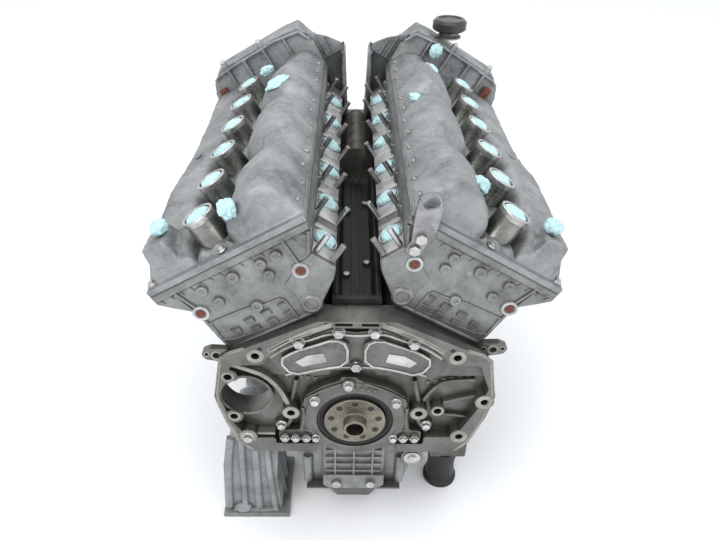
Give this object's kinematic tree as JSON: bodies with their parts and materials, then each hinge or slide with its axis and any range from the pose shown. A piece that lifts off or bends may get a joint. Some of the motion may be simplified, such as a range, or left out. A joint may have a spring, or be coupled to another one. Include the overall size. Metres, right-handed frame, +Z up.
{
  "type": "v_twelve_petrol_engine",
  "caption": "Stripped V-twelve petrol engine, seen from its flywheel end, with cast head covers, open bell housing flange and ports stuffed with blue paper.",
  "frame": {"origin": "crankshaft axis at the flywheel face of its flange", "axes": "+X to the right of a viewer who looks at the flywheel end, +Y along the crankshaft from the flywheel end to the timing end, +Z up"},
  "size_m": [0.5708, 0.752, 0.6892],
  "materials": {
    "rough_cast": "sand_cast_stained",
    "block_cast": "cast_machined",
    "head_cast": "satin_cast",
    "dark_sheet": "semi_matte",
    "gasket_sheet": "matte",
    "dark_steel": "oiled",
    "brown_steel": "oil_stained",
    "black_rubber": "matte",
    "black_plastic": "matte",
    "dark_plastic": "oily",
    "cyan_paper": "crumpled_paper",
    "rusty_steel": "rusted",
    "bright_steel": "brushed"
  },
  "bodies": {
    "engine": {"camshaft_caps": "head_cast", "connecting_rods": "bright_steel", "core_plugs": "rusty_steel", "cover_gasket_left": "gasket_sheet", "cover_gasket_right": "gasket_sheet", "cylinder_block": "block_cast", "cylinder_head_left": "head_cast", "cylinder_head_right": "head_cast", "exhaust_valves": "dark_steel", "front_crank_seal": "black_rubber", "gudgeon_pins": "bright_steel", "head_cover_left": "rough_cast", "head_cover_right": "rough_cast", "head_gasket_left": "gasket_sheet", "head_gasket_right": "gasket_sheet", "intake_port_plugs": "cyan_paper", "intake_studs": "bright_steel", "intake_valves": "dark_steel", "lifting_eye": "bright_steel", "lifting_eye_bolts": "bright_steel", "lower_sump": "dark_sheet", "main_bearing_caps": "block_cast", "mount_bracket_left": "rough_cast", "mount_bracket_right": "dark_steel", "oil_filler_neck": "head_cast", "oil_pickup": "dark_steel", "oil_pump": "dark_steel", "pistons": "block_cast", "rear_cover_bolts": "bright_steel", "rear_cover_plate": "block_cast", "rear_main_seal": "black_rubber", "rear_seal_housing": "block_cast", "rear_seal_housing_bolts": "bright_steel", "rubber_mount_right": "black_rubber", "spark_plug_tubes": "brown_steel", "sump_bolts": "bright_steel", "sump_level_plug": "bright_steel", "timing_case_left": "rough_cast", "timing_case_lower": "rough_cast", "timing_case_right": "rough_cast", "timing_chain_left": "dark_steel", "timing_chain_right": "dark_steel", "tube_plugs": "cyan_paper", "upper_sump": "head_cast", "valley_cover": "dark_plastic", "valley_cover_bolts": "bright_steel"},
    "crank": {"crankshaft": "brown_steel", "crankshaft_sprockets": "dark_steel", "vibration_damper": "dark_steel", "damper_bolt": "dark_steel"},
    "filler_cap": {"oil_filler_cap": "black_plastic"},
    "cam_intake_left": {"camshaft_intake_left": "dark_steel", "cam_sprocket_intake_left": "dark_steel"},
    "cam_exhaust_left": {"camshaft_exhaust_left": "dark_steel", "cam_sprocket_exhaust_left": "dark_steel"},
    "cam_intake_right": {"camshaft_intake_right": "dark_steel", "cam_sprocket_intake_right": "dark_steel"},
    "cam_exhaust_right": {"camshaft_exhaust_right": "dark_steel", "cam_sprocket_exhaust_right": "dark_steel"}
  },
  "joints": [
    {"name": "crank_turn", "type": "hinge", "parent": "engine", "child": "crank", "pos_m": [0, 0.3, 0], "axis": [0, 1, 0], "continuous": true},
    {"name": "cam_intake_left_turn", "type": "hinge", "parent": "engine", "child": "cam_intake_left", "pos_m": [-0.10224, 0.3, 0.28508], "axis": [0, 1, 0], "continuous": true},
    {"name": "cam_exhaust_left_turn", "type": "hinge", "parent": "engine", "child": "cam_exhaust_left", "pos_m": [-0.20616, 0.3, 0.22508], "axis": [0, 1, 0], "continuous": true},
    {"name": "cam_intake_right_turn", "type": "hinge", "parent": "engine", "child": "cam_intake_right", "pos_m": [0.10224, 0.3, 0.28508], "axis": [0, 1, 0], "continuous": true},
    {"name": "cam_exhaust_right_turn", "type": "hinge", "parent": "engine", "child": "cam_exhaust_right", "pos_m": [0.20616, 0.3, 0.22508], "axis": [0, 1, 0], "continuous": true},
    {"name": "filler_cap_turn", "type": "hinge", "parent": "engine", "child": "filler_cap", "pos_m": [0.18, 0.655, 0.395], "axis": [0, 0, 1], "range_deg": [0, 90]}
  ],
  "couplings": [
    {"joint": "cam_intake_left_turn", "follows": "crank_turn", "ratio": 0.5},
    {"joint": "cam_exhaust_left_turn", "follows": "crank_turn", "ratio": 0.5},
    {"joint": "cam_intake_right_turn", "follows": "crank_turn", "ratio": 0.5},
    {"joint": "cam_exhaust_right_turn", "follows": "crank_turn", "ratio": 0.5}
  ]
}
